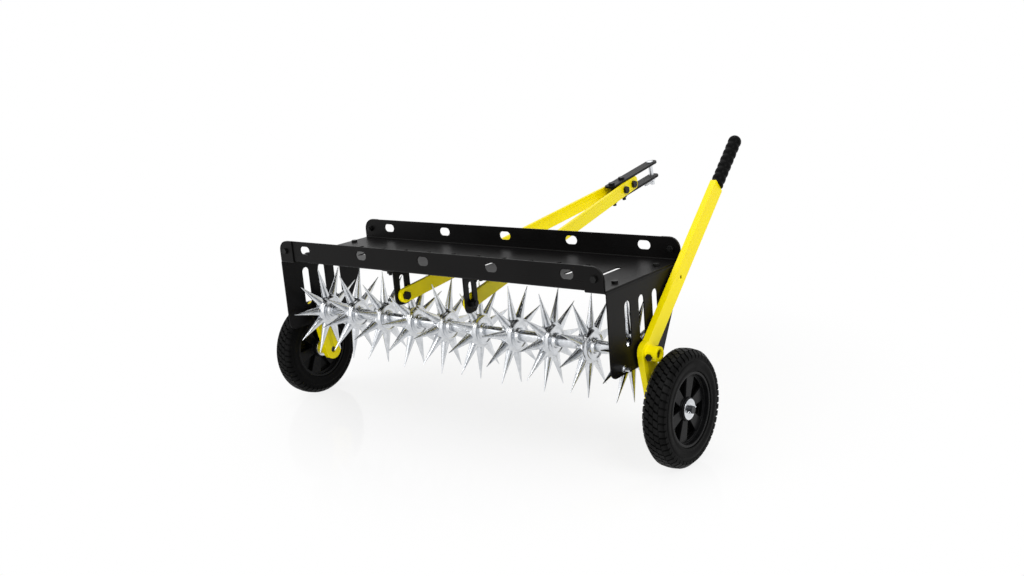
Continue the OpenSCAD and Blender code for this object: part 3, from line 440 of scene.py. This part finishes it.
clip_path = [(-CLIP_TAIL, 0), (0, 0), (CLIP_BOW, 0)]
for k in range(1, BOW_STEPS + 1):
    t = math.radians(-90 + 180 * k / BOW_STEPS)
    clip_path.append((
        CLIP_BOW + CLIP_GAP / 2 * math.cos(t), CLIP_GAP / 2 * (1 + math.sin(t)),
    ))
for k in range(1, WAVE_STEPS + 1):
    wave = WAVE_DEPTH * math.sin(math.pi * WAVE_COUNT * k / WAVE_STEPS) ** 2
    clip_path.append((CLIP_BOW - CLIP_LEG * k / WAVE_STEPS, CLIP_GAP - wave))
clip = tube([(x * MM, y * MM, 0) for x, y in clip_path], CLIP_WIRE * MM)
along = Matrix.Rotation(BAR_RISE, 4, "X") @ Matrix.Rotation(-math.pi / 2, 4, "Z")
place = Matrix.Translation(JOINTS["clip_slide"]) @ along
piece("clip_wire", mesh("clip_wire", clip, WIRE_SMOOTH), place, "clip", ["hairpin_clip"])


# Soft edges on the CAD nodes that are seen as they are

WELD_GAP = 0.01
EDGE_SEGMENTS, EDGE_ANGLE = 2, math.radians(40)
FASTENER_ENDS = ("_bolts", "_bolt", "_nuts", "_nut", "_washers")
SOFT_EDGES = [  # width, nodes
    (0.5, ["weight_tray", "left_side_plate", "right_side_plate"]),
    (0.6, ["left_drawbar", "right_drawbar", "hitch_strap_top", "hitch_strap_bottom"]),
    (0.6, ["left_hitch_bracket", "right_hitch_bracket"]),
    (1.2, ["lift_lever", "left_wheel_arm", "right_wheel_arm", "left_wheel_hub", "right_wheel_hub"]),
    (0.5, [n for n in SLOT_OF if n.endswith(FASTENER_ENDS)]),
]


def soften(shape, width):
    """Rounds a CAD node's sharp edges in modifiers, which leave its mesh alone."""
    weld = shape.modifiers.new("weld", "WELD")
    weld.merge_threshold = WELD_GAP * MM
    bevel = shape.modifiers.new("edges", "BEVEL")
    bevel.width, bevel.segments = width * MM, EDGE_SEGMENTS
    bevel.limit_method, bevel.angle_limit = "ANGLE", EDGE_ANGLE
    shape.modifiers.new("normals", "WEIGHTED_NORMAL")


for width, names in SOFT_EDGES:
    for name in names:
        soften(frame["nodes"][name], width)


# Floor, light and camera

FLOOR_TONE, FLOOR_ROUGHNESS = 0.97, 0.08
FADE_AT, FADE_SHARES = (0.35, 1.0), (0.68, 1.0)  # distance from the origin, share of plain white
FLOOR_REACH, FLOOR_DROP = 12.0, 0.0003
SKY_LEVELS = (0.5, 1.0)  # as light, as seen
AIM = Vector((0, -0.2, 0.3))
LAMPS = [  # name, place, size across, watts
    ("key", (3.2, -1.6, 2.6), 1.6, 60),
    ("top", (-0.4, 0.2, 3.2), 2.6, 29),
    ("fill", (-2.6, -2.4, 1.6), 1.8, 14),
    ("low", (0.7, -2.9, 0.5), 1.6, 13),
]
CAMERA_AT = Vector((1.6386, -2.1959, 0.9035))
CAMERA_RIGHT = Vector((0.7835, 0.6161, -0.0808))
CAMERA_UP = Vector((-0.0809, 0.2299, 0.9698))
CAMERA_LENS, CAMERA_SENSOR = 38.24, 36


def seen_directly(tree):
    """An output that is 1 for rays from the camera, in mirrors and through glass, 0 for light."""
    rays = add(tree, "ShaderNodeLightPath").outputs
    mirrored = number(tree, "MAXIMUM", rays["Is Camera Ray"], rays["Is Glossy Ray"])
    return number(tree, "MAXIMUM", mirrored, rays["Is Transmission Ray"])


def floor_material():
    """Pale and faintly glossy near the object, and plain white to the camera further out."""
    made = bpy.data.materials.new("floor")
    made.use_nodes = True
    tree = made.node_tree
    link = tree.links.new
    shader = tree.nodes["Principled BSDF"]
    shader.inputs["Base Color"].default_value = (FLOOR_TONE, FLOOR_TONE, FLOOR_TONE, 1)
    shader.inputs["Roughness"].default_value = FLOOR_ROUGHNESS
    white = add(tree, "ShaderNodeEmission", {"Strength": 1.0})
    position = add(tree, "ShaderNodeNewGeometry").outputs["Position"]
    away = vector(tree, "LENGTH", position).outputs["Value"]
    fade = remap(tree, away, FADE_AT, FADE_SHARES)
    fade.node.interpolation_type = "SMOOTHSTEP"
    blend = add(tree, "ShaderNodeMixShader")
    link(number(tree, "MULTIPLY", fade, seen_directly(tree)), blend.inputs["Fac"])
    link(shader.outputs["BSDF"], blend.inputs[1])
    link(white.outputs["Emission"], blend.inputs[2])
    link(blend.outputs["Shader"], tree.nodes["Material Output"].inputs["Surface"])
    return made


corners = [(FLOOR_REACH * x, FLOOR_REACH * y, 0) for x, y in ((-1, -1), (1, -1), (1, 1), (-1, 1))]
floor_mesh = bpy.data.meshes.new("floor")
floor_mesh.from_pydata(corners, [], [(0, 1, 2, 3)])
floor_mesh.materials.append(floor_material())
floor = bpy.data.objects.new("floor", floor_mesh)
floor.location.z = -FLOOR_DROP
scene.collection.objects.link(floor)

world = bpy.data.worlds.new("studio")
world.use_nodes = True
scene.world = world
sky_tree = world.node_tree
sky = sky_tree.nodes["Background"]
sky.inputs["Color"].default_value = (1, 1, 1, 1)
sky_level = remap(sky_tree, seen_directly(sky_tree), (0, 1), SKY_LEVELS)
sky_tree.links.new(sky_level, sky.inputs["Strength"])

for name, at, size, watts in LAMPS:
    light = bpy.data.lights.new(name, "AREA")
    light.size, light.energy = size, watts
    lamp = bpy.data.objects.new(name, light)
    lamp.location = at
    lamp.rotation_euler = (AIM - Vector(at)).to_track_quat("-Z", "Y").to_euler()
    scene.collection.objects.link(lamp)

camera = bpy.data.cameras.new("camera")
camera.lens, camera.sensor_width = CAMERA_LENS, CAMERA_SENSOR
eye = bpy.data.objects.new("camera", camera)
right = CAMERA_RIGHT.normalized()
back = right.cross(CAMERA_UP).normalized()
up = back.cross(right)
facing = Matrix((right, up, back)).transposed().to_4x4()
eye.matrix_world = Matrix.Translation(CAMERA_AT) @ facing
scene.collection.objects.link(eye)
scene.camera = eye
scene.view_settings.view_transform = "Standard"
